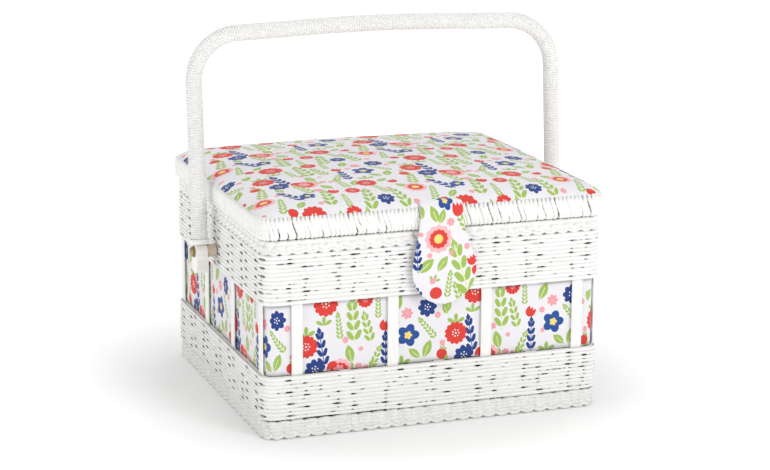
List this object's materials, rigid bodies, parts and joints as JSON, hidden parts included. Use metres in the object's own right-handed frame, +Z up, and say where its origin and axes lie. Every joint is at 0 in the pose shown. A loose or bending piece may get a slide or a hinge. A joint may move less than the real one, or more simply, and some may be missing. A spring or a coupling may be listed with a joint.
{
  "type": "sewing box",
  "caption": "Square wicker sewing box with printed fabric band, padded hinged lid, fold-down handle, fabric clasp and lift-out trays.",
  "frame": {"origin": "centre of the footprint, on the floor that the basket stands on", "axes": "+X along the front to the right, +Y from the clasp side to the hinge side, +Z up"},
  "size_m": [0.3684, 0.3086, 0.344],
  "materials": {
    "paper_cord": "matte twisted white paper cord",
    "flat_cane": "white painted flat cane, satin",
    "printed_cotton": "pale cotton printed with red, blue and green flowers",
    "plain_cotton": "plain off-white cotton",
    "fibre_board": "raw pressed board",
    "white_wood": "white painted, satin",
    "brass": "satin",
    "steel": "nickel plated",
    "spacer_plastic": "cream, satin",
    "tray_plastic": "white moulded, semi-gloss"
  },
  "bodies": {
    "basket": {"base_board": "fibre_board", "base_pad": "plain_cotton", "clasp_stud": "steel", "fabric_band": "printed_cotton", "foot_braid": "paper_cord", "hinge_basket_leaf_left": "steel", "hinge_basket_leaf_right": "steel", "hinge_pin_left": "steel", "hinge_pin_right": "steel", "lining": "plain_cotton", "lower_weave": "paper_cord", "pivot_nut_plate_left": "steel", "pivot_nut_plate_right": "steel", "pivot_screw_left": "brass", "pivot_screw_right": "brass", "pivot_spacer_left": "spacer_plastic", "pivot_spacer_right": "spacer_plastic", "pivot_washer_left": "brass", "pivot_washer_right": "brass", "rim_braid": "paper_cord", "stake_back_1": "flat_cane", "stake_back_2": "flat_cane", "stake_back_3": "flat_cane", "stake_back_4": "flat_cane", "stake_front_1": "flat_cane", "stake_front_2": "flat_cane", "stake_front_3": "flat_cane", "stake_front_4": "flat_cane", "stake_left_1": "flat_cane", "stake_left_2": "flat_cane", "stake_left_3": "flat_cane", "stake_left_4": "flat_cane", "stake_right_1": "flat_cane", "stake_right_2": "flat_cane", "stake_right_3": "flat_cane", "stake_right_4": "flat_cane", "tray_rest_back": "white_wood", "tray_rest_front": "white_wood", "upper_weave": "paper_cord"},
    "lid": {"lid_frame": "white_wood", "lid_board": "fibre_board", "lid_rim_wrap": "paper_cord", "lid_cushion": "printed_cotton", "lid_lining": "plain_cotton", "lid_pincushion": "printed_cotton", "lid_pocket": "plain_cotton", "clasp_anchor": "printed_cotton", "hinge_lid_leaf_left": "steel", "hinge_lid_leaf_right": "steel"},
    "handle": {"handle_core": "white_wood", "handle_wrap": "paper_cord", "handle_end_band_left": "flat_cane", "handle_end_band_right": "flat_cane"},
    "clasp": {"clasp_tab": "printed_cotton", "clasp_snap": "steel"},
    "tray_left": {"tray_left": "tray_plastic"},
    "tray_right": {"tray_right": "tray_plastic"}
  },
  "joints": [
    {"name": "lid_hinge", "type": "hinge", "parent": "basket", "child": "lid", "pos_m": [0, 0.1515, 0.179], "axis": [-1, 0, 0], "range_deg": [0, 90]},
    {"name": "handle_swing", "type": "hinge", "parent": "basket", "child": "handle", "pos_m": [0, 0, 0.138], "axis": [-1, 0, 0], "range_deg": [0, 121.5]},
    {"name": "clasp_flip", "type": "hinge", "parent": "lid", "child": "clasp", "pos_m": [0.006, -0.1513, 0.202], "axis": [-1, 0, 0], "range_deg": [0, 150]},
    {"name": "tray_left_lift", "type": "slide", "parent": "basket", "child": "tray_left", "axis": [0, 0, 1], "range_m": [0, 0.018]},
    {"name": "tray_right_lift", "type": "slide", "parent": "basket", "child": "tray_right", "axis": [0, 0, 1], "range_m": [0, 0.018]}
  ],
  "couplings": [
    {"joint": "handle_swing", "follows": "lid_hinge", "ratio": 1.35}
  ]
}
